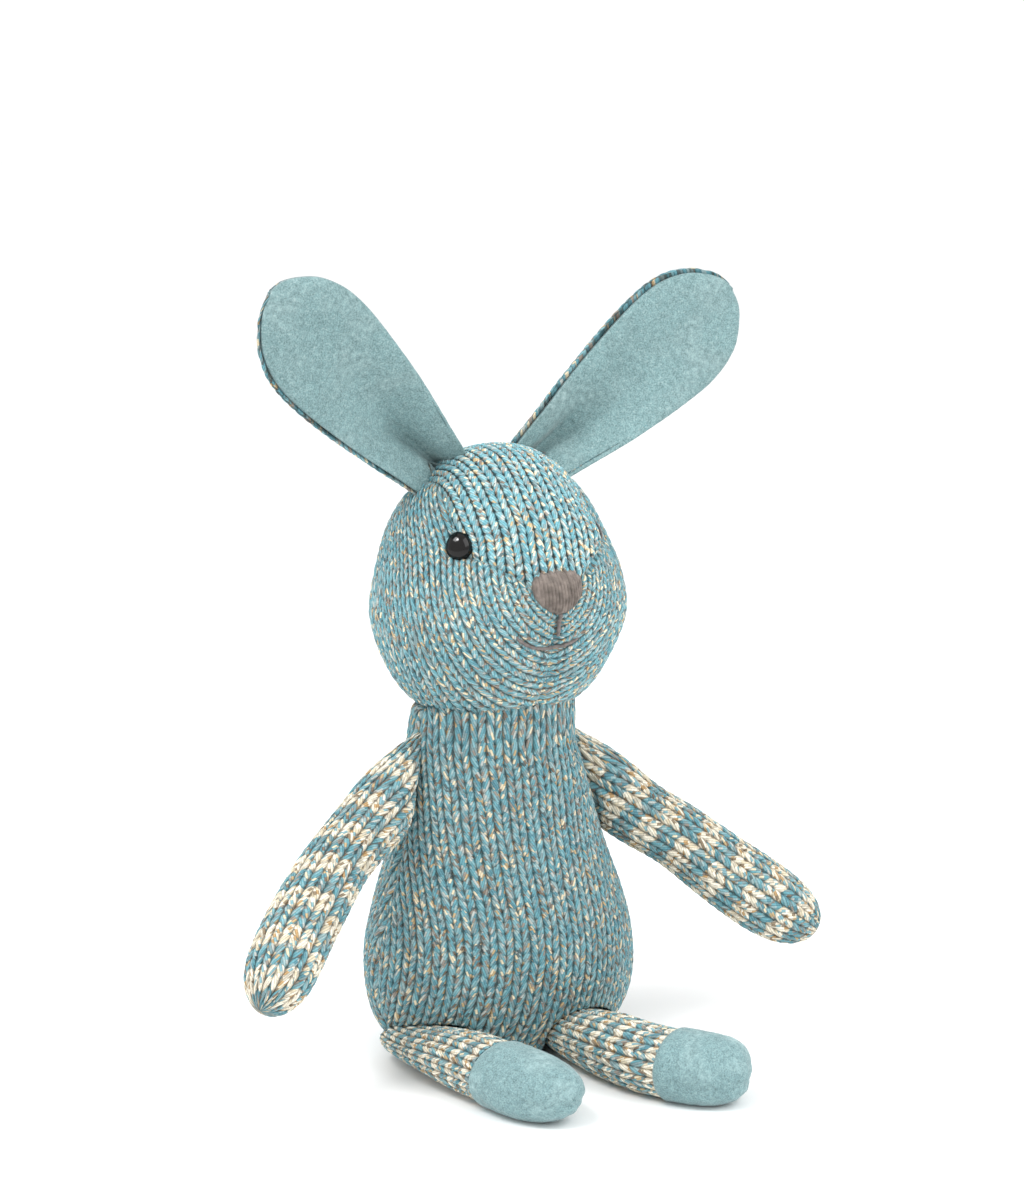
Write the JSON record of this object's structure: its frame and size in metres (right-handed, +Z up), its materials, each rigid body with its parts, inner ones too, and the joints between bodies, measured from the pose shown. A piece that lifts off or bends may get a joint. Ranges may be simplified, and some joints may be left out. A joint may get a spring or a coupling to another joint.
{
  "type": "stuffed rabbit toy",
  "caption": "Sitting stuffed rabbit in marled knit fabric with striped arms and legs, velour-lined ears, velour feet, domed eyes and a stitched nose.",
  "frame": {"origin": "middle of the flat seat, on the floor", "axes": "+Z up through the head, -Y the way the rabbit faces, +X its own left side"},
  "size_m": [0.1875, 0.1221, 0.219],
  "materials": {
    "knit": "stocking-stitch knit, blue with cream flecks",
    "striped_knit": "stocking-stitch knit, blue and cream stripes",
    "velour": "short-pile velour",
    "stuffing": "polyester fibre filling",
    "pouch": "woven pouch of plastic pellets",
    "thread": "polyester sewing thread",
    "embroidery": "satin-stitch embroidery thread",
    "eye": "polished black",
    "washer": "moulded natural plastic"
  },
  "bodies": {
    "torso": {"body_front_panel": "knit", "body_back_panel": "knit", "body_stuffing": "stuffing", "seat_pellet_pouch": "pouch"},
    "neck": {"neck_drawstring": "thread"},
    "head": {"head_gusset": "knit", "head_side_right": "knit", "head_side_left": "knit", "head_stuffing": "stuffing", "eye_right": "eye", "eye_left": "eye", "eye_washer_right": "washer", "eye_washer_left": "washer", "nose_embroidery": "embroidery", "philtrum_stitch": "embroidery", "smile_stitch": "embroidery"},
    "ear_right": {"ear_right_lining": "velour", "ear_right_back": "knit"},
    "shoulder_right": {"arm_right_seam_thread": "thread"},
    "arm_right": {"arm_right_cover": "striped_knit", "arm_right_stuffing": "stuffing"},
    "hip_right": {"leg_right_seam_thread": "thread"},
    "leg_right": {"leg_right_cover": "striped_knit", "leg_right_foot_cap": "velour", "leg_right_stuffing": "stuffing"},
    "ear_left": {"ear_left_lining": "velour", "ear_left_back": "knit"},
    "shoulder_left": {"arm_left_seam_thread": "thread"},
    "arm_left": {"arm_left_cover": "striped_knit", "arm_left_stuffing": "stuffing"},
    "hip_left": {"leg_left_seam_thread": "thread"},
    "leg_left": {"leg_left_cover": "striped_knit", "leg_left_foot_cap": "velour", "leg_left_stuffing": "stuffing"}
  },
  "joints": [
    {"name": "head_turn", "type": "hinge", "parent": "torso", "child": "neck", "pos_m": [0, 0, 0.095], "axis": [0, 0, 1], "range_deg": [-25, 25], "stiffness_Nm_per_rad": 0.012},
    {"name": "head_nod", "type": "hinge", "parent": "neck", "child": "head", "pos_m": [0, 0, 0.095], "axis": [1, 0, 0], "range_deg": [-10, 10], "stiffness_Nm_per_rad": 0.06},
    {"name": "ear_right_bend", "type": "hinge", "parent": "head", "child": "ear_right", "pos_m": [-0.0209, 0.004, 0.1647], "axis": [0.6858, 0, 0.7278], "range_deg": [-25, 40], "stiffness_Nm_per_rad": 0.02},
    {"name": "arm_right_swing", "type": "hinge", "parent": "torso", "child": "shoulder_right", "pos_m": [-0.0288, 0, 0.0766], "axis": [0.2599, 0, 0.9656], "range_deg": [-40, 20]},
    {"name": "arm_right_raise", "type": "hinge", "parent": "shoulder_right", "child": "arm_right", "pos_m": [-0.0288, 0, 0.0766], "axis": [-0.4472, 0.8944, 0], "range_deg": [-4, 60]},
    {"name": "leg_right_swing", "type": "hinge", "parent": "torso", "child": "hip_right", "pos_m": [-0.03, 0.002, 0.0084], "axis": [1, 0, 0], "range_deg": [0, 75]},
    {"name": "leg_right_splay", "type": "hinge", "parent": "hip_right", "child": "leg_right", "pos_m": [-0.03, 0.002, 0.0084], "axis": [0, 0, -1], "range_deg": [-6, 25]},
    {"name": "ear_left_bend", "type": "hinge", "parent": "head", "child": "ear_left", "pos_m": [0.0209, 0.004, 0.1647], "axis": [0.6137, 0, -0.7896], "range_deg": [-25, 40], "stiffness_Nm_per_rad": 0.02},
    {"name": "arm_left_swing", "type": "hinge", "parent": "torso", "child": "shoulder_left", "pos_m": [0.0288, 0, 0.0766], "axis": [0.2599, 0, -0.9656], "range_deg": [-40, 20]},
    {"name": "arm_left_raise", "type": "hinge", "parent": "shoulder_left", "child": "arm_left", "pos_m": [0.0288, 0, 0.0766], "axis": [-0.4472, -0.8944, 0], "range_deg": [-4, 60]},
    {"name": "leg_left_swing", "type": "hinge", "parent": "torso", "child": "hip_left", "pos_m": [0.017, -0.007, 0.0084], "axis": [1, 0, 0], "range_deg": [0, 75]},
    {"name": "leg_left_splay", "type": "hinge", "parent": "hip_left", "child": "leg_left", "pos_m": [0.017, -0.007, 0.0084], "axis": [0, 0, 1], "range_deg": [-6, 25]}
  ]
}
